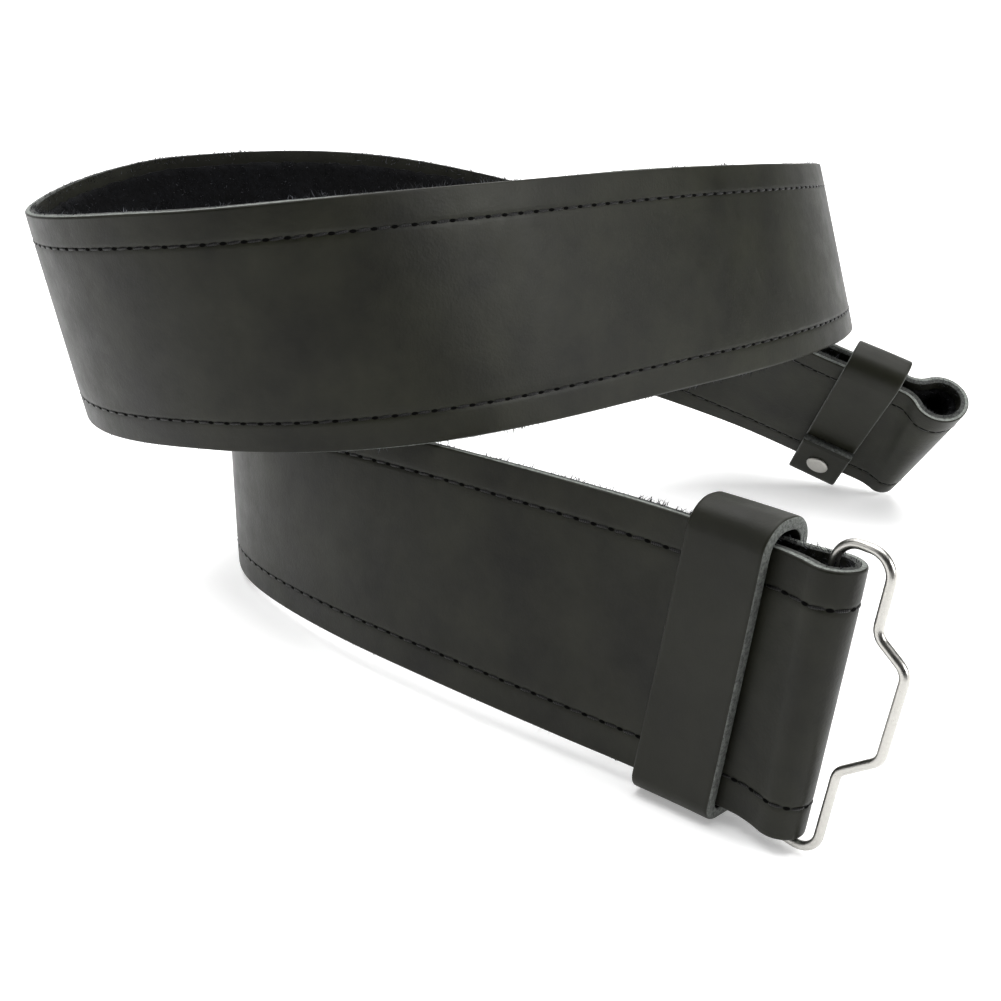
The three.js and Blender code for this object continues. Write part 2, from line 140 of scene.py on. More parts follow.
# Cut edges: depth to which the grain turns over the rim, and of the paler line below it
GRAIN_ROUND = 0.3 * MM
EDGE_LINE = 1.2 * MM
FLESH_FACE = 0.02 * MM  # faces this near the flesh side belong to it
STRAP_RIM = 0.55 * MM  # radius, as the next two
KEEPER_RIM = 0.7 * MM
FLESH_RIM = 0.3 * MM
STRAP_CROWN = 0.12 * MM  # swell of the grain side
STRAP_SINK = 0.06 * MM  # of the whole strap, half of the swell
KEEPER_SWELL = 0.1 * MM  # of the keepers' grain side
EDGE_WANDER = 0.18 * MM  # how far the cut edge strays from a straight line

# Order of a leather piece's materials
GRAIN_FACE, LINE_FACE, FLESH_SIDE, EDGE_FACE = range(4)

# Sewing and pile
STITCH_PITCH = 4.6 * MM
STITCH_INSET = 7.5 * MM
STITCH_LENGTH = 3.5 * MM
THREAD = 0.66 * MM
GROOVE_DEPTH = 0.22 * MM
GROOVE_HALF_WIDTH = 0.55 * MM
# Discs whose near-black colour is painted shade inside each stitch hole
HOLE_HALF_LENGTH = 0.78 * MM
HOLE_HALF_WIDTH = 0.4 * MM
HOLE_DEPTH = 0.03 * MM
STITCH_JITTER = 0.06 * MM
STITCH_SLANT = (0.12, 0.05)  # mean and spread, mm
LINING_ROUGHNESS = 0.22 * MM
LINING_RAGGEDNESS = 0.25 * MM
PILE_FIBRES = 60000
PILE_WIDTH = 0.2 * MM
PILE_LENGTHS = (0.5, 1.5)  # least and most, mm
PILE_SPREAD = 0.75  # how far the fibres' directions stray
PILE_OVERHANG = 0.4 * MM
EDGE_FIBRES = 64000
FUZZ_WIDTH = 0.17 * MM
FUZZ_LENGTHS = (0.2, 2.4)  # least and most, mm
FUZZ_REACH = 2.4  # mm in from either edge
FUZZ_SPREAD = 0.55
FIBRE_CURL = 0.55
FLOOR_CLEARANCE = 0.1 * MM  # of the lowest fibres

# Camera
CAMERA_BACK = (-47.97 * MM, -182.39 * MM, 136.67 * MM)  # from the start of the route
CAMERA_PITCH = 20.18  # degrees down
CAMERA_FOCUS = 1087.9  # pixels
PICTURE = 1001  # pixels
SENSOR = 36.0  # millimetres, as Blender takes it

# Studio
FLOOR_GLOW = 0.3  # keeps the belt's shadows on the floor faint
ROOM_LIGHT = 0.04  # from the dim room in front of the belt
REAR_LIGHT = 0.5
WHITE_LIGHT = 20.0  # makes the world's own grey of 0.05 white

# Tints, as shares of red and of blue
LEATHER_TINT = (0.97, 0.62)
EDGE_TINT = (0.93, 0.92)
PILE_TINT = (0.9, 1.25)
METAL_TINT = (1.02, 0.94)

rng = np.random.default_rng(7)


# Route
def hermite(knots, values, at):
    """Cubic through the rows, with the mean of the two neighbouring slopes at each."""
    secants = np.diff(values, axis=0) / np.diff(knots)[:, None]
    slopes = np.vstack([secants[:1], (secants[:-1] + secants[1:]) / 2, secants[-1:]])
    i = np.clip(np.searchsorted(knots, at, side="right") - 1, 0, len(knots) - 2)
    span = (knots[i + 1] - knots[i])[:, None]
    t = ((at - knots[i])[:, None]) / span
    start = (1 + 2 * t) * (1 - t) ** 2 * values[i] + t * (1 - t) ** 2 * span * slopes[i]
    end = t**2 * (3 - 2 * t) * values[i + 1] + t**2 * (t - 1) * span * slopes[i + 1]
    return start + end


def unit(vectors):
    return vectors / np.linalg.norm(vectors, axis=-1, keepdims=True)


def lay_route():
    rows = np.array(ROUTE, float)
    step = STRAP_LENGTH / ROUTE_STEPS
    heading, level, lean = hermite(rows[:, 0], rows[:, 1:], np.linspace(0, 1, ROUTE_STEPS + 1)).T
    edge = level * STRAP_WIDTH
    slope = np.gradient(edge, step)
    heading, lean = np.radians(heading), np.radians(lean)
    flat = np.sqrt(1 - slope**2)
    tangent = np.stack([flat * np.cos(heading), flat * np.sin(heading), slope], 1)
    point = np.vstack([np.zeros(3), np.cumsum(tangent[1:], 0) * step])
    upright = unit(np.array([0, 0, 1.0]) - tangent * slope[:, None])
    side = np.cross(upright, tangent)
    across = upright * np.cos(lean)[:, None] + side * np.sin(lean)[:, None]
    point[:, 2] = edge + across[:, 2] * STRAP_WIDTH / 2
    return {"point": point, "tangent": tangent, "across": across, "grain": np.cross(across, tangent)}


ROUTE_FRAMES = lay_route()
ROUTE_AT = np.linspace(0, STRAP_LENGTH, ROUTE_STEPS + 1)


def frame_at(distance):
    """Frames at these distances along the strap; past either end it runs straight on."""
    distance = np.asarray(distance, float)
    inside = np.clip(distance, 0, STRAP_LENGTH)
    mixed = {
        key: np.stack([np.interp(inside, ROUTE_AT, values[:, k]) for k in range(3)], -1)
        for key, values in ROUTE_FRAMES.items()
    }
    for key in ("tangent", "across", "grain"):
        mixed[key] = unit(mixed[key])
    mixed["point"] = mixed["point"] + mixed["tangent"] * (distance - inside)[..., None]
    return mixed


SHUT_HALF = LEATHER + GAP + LINING + GAP / 2


def fold_arcs(radius, flare):
    angle = math.radians(flare)
    flare_radius = (radius * math.cos(angle) - SHUT_HALF) / (1 - math.cos(angle))
    centre = (flare_radius + radius) * math.sin(angle)
    return angle, flare_radius, centre, centre + radius


def fold_profile(radius, flare):
    """Rows of out, off, and the outward normal's two parts, from the main leaf to the tail."""
    angle, flare_radius, centre, _ = fold_arcs(radius, flare)
    turns = angle * np.arange(1, FLARE_STEPS + 1) / FLARE_STEPS
    off = SHUT_HALF + flare_radius * (1 - np.cos(turns))
    leaf = np.stack([flare_radius * np.sin(turns), off, -np.sin(turns), np.cos(turns)], 1)
    bend = (math.pi + 2 * angle) * np.arange(1, FOLD_STEPS) / FOLD_STEPS - angle
    normal = np.stack([np.sin(bend), np.cos(bend)], 1)
    round_part = np.hstack([normal * radius + [centre, 0], normal])
    return np.vstack([leaf, round_part, (leaf * [1, -1, 1, -1])[::-1]])


def fold_stations(place, outward, fold):
    sides = []
    for side, edge in ((1, "upper"), (-1, "lower")):
        rows = fold_profile(*fold[edge])
        points = place["point"] + place["across"] * side * STRAP_WIDTH / 2
        points = points + rows[:, :1] * outward + (rows[:, 1:2] - SHUT_HALF) * place["grain"]
        normals = rows[:, 2:3] * outward + rows[:, 3:4] * place["grain"]
        sides += [points, normals]
    return np.stack([sides[0], sides[2], sides[1], sides[3]], 1)


def main_stations(distances):
    at = frame_at(distances)
    half = at["across"] * STRAP_WIDTH / 2
    return np.stack([at["point"] + half, at["point"] - half, at["grain"], at["grain"]], 1)


def tail_stations(distances):
    rows = main_stations(distances)
    back = -rows[:, 2:3]
    return np.concatenate([rows[:, :2] + back * 2 * SHUT_HALF, back, back], 1)


def spread(start, end):
    return np.linspace(start, end, max(2, math.ceil(abs(end - start) / STATION)))


def strap_stations():
    """Each station holds the grain-side points at the upper and lower edge and the normals there."""
    start, end = frame_at(0.0), frame_at(STRAP_LENGTH)
    near_fold = fold_stations(start, -start["tangent"], WIRE_FOLD)[::-1]
    return np.concatenate([
        tail_stations(spread(WIRE_TAIL_LENGTH, 0)),
        near_fold,
        main_stations(spread(0, STRAP_LENGTH)),
        fold_stations(end, end["tangent"], OPEN_FOLD),
        tail_stations(spread(STRAP_LENGTH, STRAP_LENGTH - OPEN_TAIL_LENGTH)),
    ])


# The joint's place in the frame fixes where the route starts.
START = frame_at(0.0)
BAR = (
    START["point"]
    - START["tangent"] * (fold_arcs(*WIRE_FOLD["upper"])[3] - BAR_SETBACK)
    - START["grain"] * SHUT_HALF
)
ORIGIN = np.array(frame["joints"][0]["pos_m"]) - BAR

STATIONS = strap_stations()
MIDDLE = STATIONS[:, :2].mean(1)
ALONG = np.concatenate([[0], np.cumsum(np.linalg.norm(np.diff(MIDDLE, axis=0), axis=1))])


def on_strap(along, inset, depth):
    """Points and normals at a distance along the whole strap, an inset from the upper edge and a
    depth below the grain side."""
    along, inset, depth = np.broadcast_arrays(along, inset, depth)
    row = np.interp(along, ALONG, np.arange(len(ALONG)))
    low = np.clip(row.astype(int), 0, len(ALONG) - 2)
    mix = (row - low)[..., None, None]
    station = STATIONS[low] * (1 - mix) + STATIONS[low + 1] * mix
    share = (inset / STRAP_WIDTH)[..., None]
    normal = unit(station[..., 2, :] * (1 - share) + station[..., 3, :] * share)
    point = station[..., 0, :] * (1 - share) + station[..., 1, :] * share
    return point - normal * depth[..., None] + ORIGIN, normal


# Meshes
def make_mesh(name, points, faces, body, materials, face_material=None, uv=None):
    mesh = bpy.data.meshes.new(name)
    mesh.from_pydata(np.asarray(points).reshape(-1, 3).tolist(), [], [list(f) for f in faces])
    for material in materials:
        mesh.materials.append(material)
    if face_material is not None:
        mesh.polygons.foreach_set("material_index", np.asarray(face_material, np.int32))
    mesh.polygons.foreach_set("use_smooth", np.ones(len(mesh.polygons), bool))
    if uv is not None:
        layer = mesh.uv_layers.new(name="strap_metres")
        loops = np.zeros(len(mesh.loops), np.int32)
        mesh.loops.foreach_get("vertex_index", loops)
        layer.data.foreach_set("uv", np.asarray(uv, np.float32).reshape(-1, 2)[loops].ravel())
    mesh.validate()
    mesh.update()
    piece = bpy.data.objects.new(name, mesh)
    bpy.context.scene.collection.objects.link(piece)
    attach(piece, body)
    return piece


def grid_faces(rows, columns, ring=True, closed=False):
    """Quads between rows of a grid of points. ring joins the last column to the first, closed the
    last row to the first."""
    i = np.arange(rows if closed else rows - 1)[:, None]
    j = np.arange(columns if ring else columns - 1)[None, :]
    next_i, next_j = (i + 1) % rows, (j + 1) % columns
    corners = (i * columns + j, i * columns + next_j, next_i * columns + next_j, next_i * columns + j)
    return np.stack([np.broadcast_to(c, (i.size, j.size)) for c in corners], -1).reshape(-1, 4)


def end_faces(rows, columns, first=0):
    """The two ends of a grid whose columns form a ring."""
    last = first + (rows - 1) * columns
    return [list(range(first, first + columns))[::-1], list(range(last, last + columns))]


def rounded_profile(width, thickness, grain_radius, insets):
    """Outline of a leather band, as inset from one edge and depth below the grain side."""
    quarter = np.radians(90 * np.arange(RIM_STEPS + 1) / RIM_STEPS)
    bend = list(zip(1 - np.sin(quarter), 1 - np.cos(quarter)))
    rows = [(inset, 0) for inset in insets if grain_radius < inset < width - grain_radius]
    for near, far in bend:
        rows.append((width - grain_radius * near, grain_radius * far))
    rows.append((width, EDGE_LINE))
    for near, far in bend:
        rows.append((width - FLESH_RIM * far, thickness - FLESH_RIM * near))
    for inset in insets[::-1][::3]:
        if FLESH_RIM < inset < width - FLESH_RIM:
            rows.append((inset, thickness))
    for near, far in bend:
        rows.append((FLESH_RIM * near, thickness - FLESH_RIM * far))
    rows.append((0, EDGE_LINE))
    for near, far in bend:
        rows.append((grain_radius * far, grain_radius * near))
    return np.array(rows)


def side_kinds(depth, thickness):
    """Material of each face round a profile."""
    middle = (depth + np.roll(depth, -1)) / 2
    kinds = np.full(len(depth), EDGE_FACE)
    kinds[middle < EDGE_LINE] = LINE_FACE
    kinds[middle < GRAIN_ROUND] = GRAIN_FACE
    kinds[middle > thickness - FLESH_FACE] = FLESH_SIDE
    return kinds


def wave(along, seed, length):
    """A slow, even wander, the same each run."""
    phase = np.random.default_rng(seed).uniform(0, 2 * math.pi, 5)
    parts = [np.sin(2 * math.pi * along * (k + 1) / length + phase[k]) / (k + 1) for k in range(5)]
    return sum(parts) / 2


def both_sides(insets, width):
    """Insets in millimetres from one edge, the middle, and the same insets from the other edge."""
    near = np.array(insets) * MM
    return np.concatenate([near, [width / 2], (width - near)[::-1]])


def build_strap(materials):
    insets = both_sides(STRAP_INSETS, STRAP_WIDTH)
    inset, depth = rounded_profile(STRAP_WIDTH, LEATHER, STRAP_RIM, insets).T
    grain = depth < GRAIN_ROUND
    along = ALONG[:, None]
    edge = np.minimum(inset, STRAP_WIDTH - inset)
    groove = GROOVE_DEPTH * np.exp(-(((edge - STITCH_INSET) / GROOVE_HALF_WIDTH) ** 2)) * grain
    crown = STRAP_CROWN * np.clip(edge / STITCH_INSET, 0, 1) ** 0.5 * grain
    near, far = wave(along, seed=3, length=0.16), wave(along, seed=4, length=0.19)
    wander = np.where(inset < STRAP_WIDTH / 2, near, far) * EDGE_WANDER
    wandering = inset + wander * ~grain * (edge == 0)
    points, _ = on_strap(along, wandering, depth + groove - crown + STRAP_SINK)
    columns = len(inset)
    faces = [*grid_faces(len(ALONG), columns), *end_faces(len(ALONG), columns)]
    faces = [face[::-1] for face in faces]
    face_kinds = np.tile(side_kinds(depth, LEATHER), len(ALONG) - 1)
    face_kinds = np.concatenate([face_kinds, [LINE_FACE, LINE_FACE]])
    uv = np.stack(np.broadcast_arrays(along, inset[None, :]), -1)
    piece = make_mesh(
        "strap_leather", points, faces, "belt", materials, face_kinds, uv
    )
    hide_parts("strap")


def build_lining(material):
    """A strip with an uneven outer face and ragged edges, its inner face in the glue gap."""
    inset = np.linspace(LINING_MARGIN, STRAP_WIDTH - LINING_MARGIN, LINING_COLUMNS)
    profile = np.concatenate([
        np.stack([inset, np.full(LINING_COLUMNS, LEATHER + GAP + LINING)], 1),
        np.stack([inset[::-1], np.full(LINING_COLUMNS, LEATHER + GAP * 0.2)], 1),
    ])
    along = ALONG[:, None]
    columns = len(profile)
    rough = rng.normal(0, LINING_ROUGHNESS, (len(ALONG), columns))
    rough[:, LINING_COLUMNS:] = 0
    edge = (profile[:, 0] == inset[0]) | (profile[:, 0] == inset[-1])
    ragged = np.where(edge, rng.normal(0, LINING_RAGGEDNESS, (len(ALONG), 1)), 0)
    points, _ = on_strap(along, profile[:, 0] + ragged, profile[:, 1] + rough)
    faces = [*grid_faces(len(ALONG), columns), *end_faces(len(ALONG), columns)]
    uv = np.stack(np.broadcast_arrays(along, profile[None, :, 0]), -1)
    piece = make_mesh("lining_pile", points, faces, "belt", [material], uv=uv)
    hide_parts("lining")


def fibres(name, roots, directions, lengths, width, material):
    """Thin tapered fibres, each bent once, none of them through the floor."""
    count = len(roots)
    side = unit(np.cross(directions, rng.normal(size=(count, 3)))) * width / 2
    bend = rng.normal(0, FIBRE_CURL, (count, 3))
    middle = roots + directions * lengths[:, None] * 0.5
    tip = middle + unit(directions + bend) * lengths[:, None] * 0.5
    points = np.stack([roots - side, roots + side, middle + side * 0.8, middle - side * 0.8, tip], 1)
    points[..., 2] = np.maximum(points[..., 2], FLOOR_CLEARANCE)
    first = np.arange(count)[:, None] * 5
    quads = (first + [0, 1, 2, 3]).tolist()
    tips = (first + [3, 2, 4]).tolist()
    make_mesh(name, points, quads + tips, "belt", [material])


def build_pile(material):
    """Fibres all over the lining, and just past its edges."""
    along = rng.uniform(0, ALONG[-1], PILE_FIBRES)
    margin = LINING_MARGIN - PILE_OVERHANG
    inset = rng.uniform(margin, STRAP_WIDTH - LINING_MARGIN + PILE_OVERHANG, PILE_FIBRES)
    root, normal = on_strap(along, inset, LEATHER + GAP + LINING * 0.8)
    direction = unit(-normal + rng.normal(0, PILE_SPREAD, (PILE_FIBRES, 3)))
    length = rng.uniform(*PILE_LENGTHS, PILE_FIBRES) * MM
    fibres("lining_fibres", root, direction, length, PILE_WIDTH, material)


def build_edge_fuzz(material):
    """Fibres that stand out past the leather's cut edges."""
    along = rng.uniform(0, ALONG[-1], EDGE_FIBRES)
    upper = rng.random(EDGE_FIBRES) < 0.5
    inset = rng.uniform(0, FUZZ_REACH, EDGE_FIBRES) * MM
    inset = np.where(upper, inset, STRAP_WIDTH - inset)
    root, normal = on_strap(along, inset, LEATHER * rng.uniform(0.5, 1.05, EDGE_FIBRES))
    outer, _ = on_strap(along, np.where(upper, 0, STRAP_WIDTH), LEATHER)
    inner, _ = on_strap(along, STRAP_WIDTH / 2, LEATHER)
    outward = unit(outer - inner)
    stray = rng.normal(0, FUZZ_SPREAD, (EDGE_FIBRES, 3))
    direction = unit(outward * 0.9 - normal * 0.5 + stray)
    tufts = (1 + wave(along, seed=11, length=0.09) + wave(along, seed=12, length=0.021)).clip(0.35, 2.2)
    length = (rng.gamma(2.0, 0.4, EDGE_FIBRES) * tufts).clip(*FUZZ_LENGTHS) * MM
    fibres("edge_fuzz", root, direction, length, FUZZ_WIDTH, material)


def tube(path, radius, sides, normals, flat=1.0, closed=False):
    """Points round a path. radius may change along it, and flat is the share kept across it."""
    if closed:
        tangent = unit(np.roll(path, -1, 0) - np.roll(path, 1, 0))
    else:
        tangent = unit(np.gradient(path, axis=0))
    side = unit(np.cross(tangent, normals))
    lift = unit(np.cross(side, tangent))
    turn = np.linspace(0, 2 * math.pi, sides, endpoint=False)
    radius = np.broadcast_to(radius, len(path))[:, None, None]
    cosine, sine = np.cos(turn)[None, :, None], np.sin(turn)[None, :, None]
    return path[:, None] + (cosine * side[:, None] + flat * sine * lift[:, None]) * radius


def stitch_middles():
    return np.arange(STITCH_PITCH, ALONG[-1] - STITCH_PITCH, STITCH_PITCH)


def build_stitches(material):
    """Two rows of stitches, each a short length of thread that dips into the leather at both ends."""
    share = np.linspace(-1, 1, 9)
    points, faces, first = [], [], 0
    for inset in (STITCH_INSET, STRAP_WIDTH - STITCH_INSET):
        for middle in stitch_middles():
            along = middle + share * STITCH_LENGTH / 2 + rng.normal(0, STITCH_JITTER)
            slant = share * rng.normal(*STITCH_SLANT) * MM
            sink = GROOVE_DEPTH + THREAD * (0.75 * np.abs(share) ** 4 - 0.22)
            path, normal = on_strap(along, inset + slant, sink)
            radius = THREAD / 2 * (1 - 0.35 * share**4) * rng.uniform(0.92, 1.06)
            rows = tube(path, radius, THREAD_SIDES, normal, flat=0.8)
            points.append(rows.reshape(-1, 3))
            faces += (grid_faces(len(share), THREAD_SIDES) + first).tolist()
            faces += end_faces(len(share), THREAD_SIDES, first)
            first += THREAD_SIDES * len(share)
    make_mesh("stitches", np.vstack(points), faces, "belt", [material])


def build_stitch_holes(material):
    """A dished disc between each stitch and the next; its near-black colour is painted shade of the
    stitch hole.
    """
    turn = np.linspace(0, 2 * math.pi, HOLE_SIDES, endpoint=False)
    points, faces, first = [], [], 0
    for inset in (STITCH_INSET, STRAP_WIDTH - STITCH_INSET):
        for middle in stitch_middles() + STITCH_PITCH / 2:
            inset_round = inset + HOLE_HALF_WIDTH * np.sin(turn)
            rim, _ = on_strap(middle + HOLE_HALF_LENGTH * np.cos(turn), inset_round, 0)
            low, _ = on_strap(middle, inset, HOLE_DEPTH)
            points += [rim, low[None]]
            for k in range(HOLE_SIDES):
                faces.append([first + k, first + (k + 1) % HOLE_SIDES, first + HOLE_SIDES])
            first += HOLE_SIDES + 1
    make_mesh("stitch_hole_shade_discs", np.vstack(points), faces, "belt", [material])


# Keepers
KEEPER_HALF_ACROSS = STRAP_WIDTH / 2 + KEEPER_CLEARANCE
KEEPER_HALF_DEPTH = SHUT_HALF + KEEPER_CLEARANCE
LAP_DEPTH = KEEPER_HALF_DEPTH + KEEPER_LEATHER + GAP
BEND_X = KEEPER_HALF_ACROSS - KEEPER_CORNER
BEND_Y = KEEPER_HALF_DEPTH - KEEPER_CORNER
CROWN_Y = KEEPER_HALF_DEPTH - KEEPER_CROWN_CORNER


def crown_x(crown):
    return KEEPER_CROWN_CORNER - KEEPER_HALF_ACROSS - crown


def arc_rows(x, y, radius, start, steps=CORNER_STEPS):
    """A quarter turn round x and y, from this angle on, with the normal."""
    turn = np.radians(start - 90 * np.linspace(0, 1, steps + 1))
    normal = np.stack([np.cos(turn), np.sin(turn)], 1)
    return np.hstack([normal * radius + [x, y], normal])


def fill_rows(rows, closed):
    """Adds evenly spaced rows along the straight stretches."""
    after = np.roll(rows, -1, 0) if closed else np.vstack([rows[1:], rows[-1:]])
    filled = []
    for row, following in zip(rows, after):
        steps = max(1, math.ceil(np.linalg.norm(following[:2] - row[:2]) / KEEPER_STEP))
        for k in range(steps):
            mixed = row.copy()
            mixed[:2] += (following[:2] - row[:2]) * k / steps
            filled.append(mixed)
    return np.array(filled)


def wide_keeper_path():
    """Inside of the ring: x down the strap and y out of its grain side, with the normal."""
    top = crown_x(WIDE_KEEPER_CROWN)
    rows = np.vstack([
        arc_rows(top, -CROWN_Y, KEEPER_CROWN_CORNER, -90, CROWN_STEPS),
        arc_rows(top, CROWN_Y, KEEPER_CROWN_CORNER, -180, CROWN_STEPS),
        arc_rows(BEND_X, BEND_Y, KEEPER_CORNER, -270),
        arc_rows(BEND_X, -BEND_Y, KEEPER_CORNER, -360),
    ])
    return fill_rows(rows, closed=True)


def narrow_keeper_path():
    """Inside of the strip, from its inner end round the strap to the end of its lap."""
    top = crown_x(NARROW_KEEPER_CROWN)
    start = [KEEPER_HALF_ACROSS - INNER_END, -KEEPER_HALF_DEPTH, 0, -1]
    end = [KEEPER_HALF_ACROSS + KEEPER_LEATHER - TAB_HEIGHT, -LAP_DEPTH, 0, -1]
    rows = np.vstack([
        [start],
        arc_rows(top, -CROWN_Y, KEEPER_CROWN_CORNER, -90, CROWN_STEPS),
        arc_rows(top, CROWN_Y, KEEPER_CROWN_CORNER, -180, CROWN_STEPS),
        arc_rows(BEND_X, BEND_Y, KEEPER_CORNER, -270),
        arc_rows(BEND_X, KEEPER_CORNER - LAP_DEPTH, KEEPER_CORNER, -360),
        [end],
    ])
    return fill_rows(rows, closed=False)


def on_keeper(start, skew, along, x, y):
    """Points of a keeper that starts here along the strap, x down the strap and y out of its grain
    side."""
    shear = math.tan(math.radians(skew))
    at = frame_at(start + along + shear * x)
    point = at["point"] - at["across"] * x[..., None] + at["grain"] * (y - SHUT_HALF)[..., None]
    return point + ORIGIN


def build_keeper(name, node, path, start, width, skew, closed, materials):
    insets = both_sides(KEEPER_INSETS, width)
    inset, depth = rounded_profile(width, KEEPER_LEATHER, KEEPER_RIM, insets).T
    height = KEEPER_LEATHER - depth[None, :] + KEEPER_SWELL * (depth < GRAIN_ROUND)
    x = path[:, 0:1] + path[:, 2:3] * height
    y = path[:, 1:2] + path[:, 3:4] * height
    points = on_keeper(start, skew, np.broadcast_to(inset, x.shape), x, y)
    rows, columns = x.shape
    faces = grid_faces(rows, columns, closed=closed)
    face_kinds = np.tile(side_kinds(depth, KEEPER_LEATHER), len(faces) // columns)
    if not closed:
        faces = [*faces, *end_faces(rows, columns)]
        face_kinds = np.concatenate([face_kinds, [LINE_FACE, LINE_FACE]])
    run = np.concatenate([[0], np.cumsum(np.linalg.norm(np.diff(path[:, :2], axis=0), axis=1))])
    uv = np.stack(np.broadcast_arrays(run[:, None], inset[None, :]), -1)
    piece = make_mesh(name, points, faces, "belt", materials, face_kinds, uv)
    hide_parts(node)


def build_rivet(material):
    """A low domed head with a soft rim, seated on the middle of the lap."""
    x = np.array(KEEPER_HALF_ACROSS + KEEPER_LEATHER - TAB_HEIGHT / 2)
    y = np.array(-LAP_DEPTH - KEEPER_LEATHER)
    near, far = (
        np.array([
            on_keeper(NARROW_KEEPER_START, NARROW_KEEPER_SKEW, along, down, y)
            for down in (x - MM, x, x + MM)
        ])
        for along in (0, NARROW_KEEPER_WIDTH)
    )
    above, middle, below = (near + far) / 2
    side = unit(far[1] - near[1])
    up = unit(above - below)
    out = unit(np.cross(side, up))
    side = np.cross(up, out)
    radius, height = RIVET_HEAD / 2, RIVET_HEAD_HEIGHT
    turn = np.linspace(0, 2 * math.pi, RIVET_SIDES, endpoint=False)
    ring = np.cos(turn)[:, None] * side + np.sin(turn)[:, None] * up
    rows = [middle + ring * radius * r + out * (height * h + RIVET_LIFT) for r, h in RIVET_PROFILE]
    faces = [*grid_faces(len(rows), RIVET_SIDES), *end_faces(len(rows), RIVET_SIDES)]
    piece = make_mesh("rivet_head", np.array(rows), faces, "belt", [material])
    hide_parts("rivet")


# Wire loop
def fillet(corners):
    """Rounds the corners of a closed outline, given as x, y and radius."""
    points = []
    for i, (x, y, radius) in enumerate(corners):
        here = np.array([x, y])
        back = unit(np.array(corners[i - 1][:2]) - here)
        on = unit(np.array(corners[(i + 1) % len(corners)][:2]) - here)
        half = math.acos(np.clip(back @ on, -1, 1)) / 2
        centre = here + unit(back + on) * radius / math.sin(half)
        first = here + back * radius / math.tan(half) - centre
        last = here + on * radius / math.tan(half) - centre
        sweep = math.atan2(first[0] * last[1] - first[1] * last[0], first @ last)
        start = math.atan2(first[1], first[0])
        steps = max(3, math.ceil(abs(sweep) / math.radians(WIRE_BEND_STEP)))
        for turn in np.linspace(start, start + sweep, steps):
            points.append(centre + radius * np.array([math.cos(turn), math.sin(turn)]))
    return np.array(points)


def loop_outline():
    """Corners of the wire's middle line: x out from the bar, y up along it, and the radius."""
    upper = STRAP_WIDTH / 2 + LOOP_RISE
    lower = -STRAP_WIDTH / 2 - LOOP_DROP
    side = BAR_SETBACK + LOOP_CLEARANCE
    bends = [
        (side + LOOP_SLANT * share + out * HUMP_REACH, share * STRAP_WIDTH, HUMP_CORNER)
        for share, out in HUMP
    ]
    return [
        (0, lower, LOOP_DROP),
        (side - LOOP_SLANT / 2, lower, LOOP_CORNER),
        *bends,
        (side + LOOP_SLANT / 2, upper, LOOP_CORNER),
        (0, upper, LOOP_RISE),
    ]


def build_wire_loop(material):
    outline = fillet(loop_outline())
    spaced = []
    for here, following in zip(outline, np.roll(outline, -1, 0)):
        steps = max(1, math.ceil(np.linalg.norm(following - here) / WIRE_STEP))
        spaced += [here + (following - here) * k / steps for k in range(steps)]
    flat = np.array(spaced)
    skew = math.radians(LOOP_SKEW)
    turned = flat @ np.array([[math.cos(skew), math.sin(skew)], [-math.sin(skew), math.cos(skew)]])
    path = BAR + ORIGIN + turned[:, :1] * -START["tangent"] + turned[:, 1:] * START["across"]
    normals = np.broadcast_to(START["grain"], path.shape)
    points = tube(path, WIRE / 2, WIRE_SIDES, normals, closed=True)
    faces = grid_faces(len(path), WIRE_SIDES, closed=True)
    piece = make_mesh("wire_loop_steel", points, faces, "loop", [material])
    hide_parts("wire_loop")


# Materials
class Nodes:
    """A material's node tree, with short calls for the nodes used here."""

    def __init__(self, name):
        self.material = bpy.data.materials.new(name)
        self.material.use_nodes = True
        self.tree = self.material.node_tree
        self.shader = self.tree.nodes["Principled BSDF"]

    def add(self, kind, inputs=None, **settings):
        node = self.tree.nodes.new(kind)
        for key, value in settings.items():
            setattr(node, key, value)
        for key, value in (inputs or {}).items():
            self.set(node, key, value)
        return node

    def set(self, node, key, value):
        if isinstance(value, bpy.types.NodeSocket):
            self.tree.links.new(value, node.inputs[key])
        else:
            node.inputs[key].default_value = value

    def noise(self, scale, detail=4.0, roughness=0.55):
        node = self.add("ShaderNodeTexNoise", {"Scale": scale, "Detail": detail, "Roughness": roughness,
                                               "Vector": self.place()})
        return node.outputs["Fac"]

    def place(self):
        return self.add("ShaderNodeTexCoord").outputs["Object"]

    def ramp(self, value, low, high, start=0.0, end=1.0):
        node = self.add("ShaderNodeMapRange", {"Value": value, "From Min": low, "From Max": high,
                                               "To Min": start, "To Max": end})
        return node.outputs["Result"]

    def mix(self, share, dark, light):
        node = self.add("ShaderNodeMix", data_type="RGBA")
        self.set(node, 0, share)
        self.set(node, 6, dark)
        self.set(node, 7, light)
        return node.outputs[2]

    def bump(self, height, distance, strength, before=None):
        node = self.add("ShaderNodeBump", {"Height": height, "Distance": distance, "Strength": strength})
        if before is not None:
            self.set(node, "Normal", before)
        return node.outputs["Normal"]

    def finish(self, **values):
        """Sets the shader's sockets, named with _ for a space."""
        for key, value in values.items():
            self.set(self.shader, key.replace("_", " "), value)
        return self.material


def grey(value, red=1.0, blue=1.0):
    return (value * red, value, value * blue, 1)


